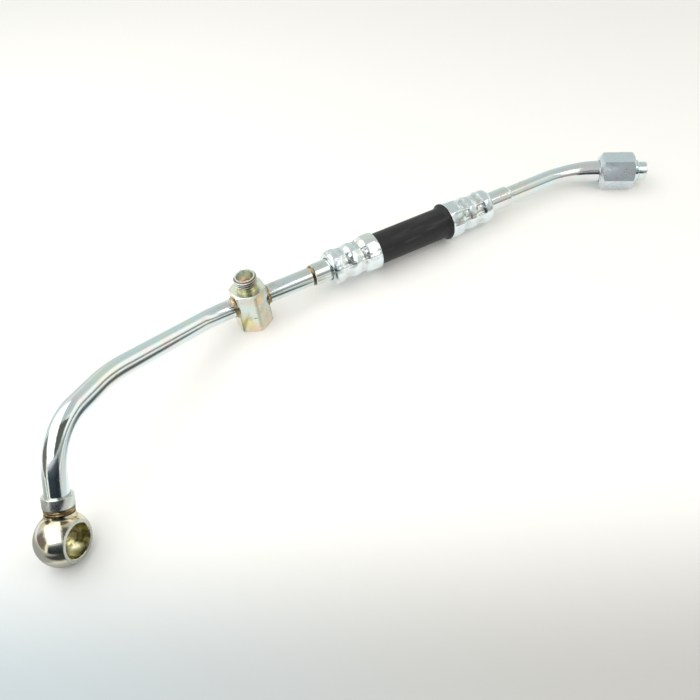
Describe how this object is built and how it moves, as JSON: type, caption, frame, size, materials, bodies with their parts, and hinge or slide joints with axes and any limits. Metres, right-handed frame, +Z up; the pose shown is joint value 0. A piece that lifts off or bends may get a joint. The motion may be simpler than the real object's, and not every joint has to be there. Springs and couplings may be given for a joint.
{
  "type": "camshaft oil feed hose",
  "caption": "Camshaft oil feed line: plated steel tube with a banjo eye, a hex tee with a male port, a crimped rubber hose section and a captive union nut.",
  "frame": {"origin": "centre of the flat base of the hex tee block, which stands on the surface", "axes": "+Z up along the tee's male port, +X across the banjo eye, +Y along the line from the banjo eye towards the union nut"},
  "size_m": [0.2297, 0.3252, 0.0507],
  "materials": {
    "tube_zinc": "glossy clear zinc plate",
    "banjo_zinc": "polished zinc plate, yellow heat tint at the neck",
    "tee_zinc": "satin zinc plate with yellow and orange heat tint",
    "ferrule_zinc": "bright zinc plate, dented by the crimping jaws",
    "nut_zinc": "satin blue-grey zinc plate",
    "braze": "dull brown braze",
    "plated_braze": "braze under zinc plate",
    "hose_rubber": "matte black rubber"
  },
  "bodies": {
    "line": {"banjo_eye": "banjo_zinc", "banjo_braze_ring": "braze", "tube_collar": "banjo_zinc", "inlet_tube": "tube_zinc", "tee_block": "tee_zinc", "tee_braze_inlet": "braze", "tee_braze_link": "braze", "link_tube": "tube_zinc", "stem_braze_left": "braze", "hose_stem_left": "tube_zinc", "ferrule_left": "ferrule_zinc", "rubber_hose": "hose_rubber", "ferrule_right": "ferrule_zinc", "hose_stem_right": "tube_zinc", "stem_braze_right": "plated_braze", "outlet_tube": "tube_zinc", "cone_nipple": "tube_zinc"},
    "nut": {"union_nut": "nut_zinc"}
  },
  "joints": [
    {"name": "nut_spin", "type": "hinge", "parent": "line", "child": "nut", "pos_m": [0.17646, 0.1561, 0.0095], "axis": [0.9874, 0.1582, 0], "continuous": true}
  ]
}
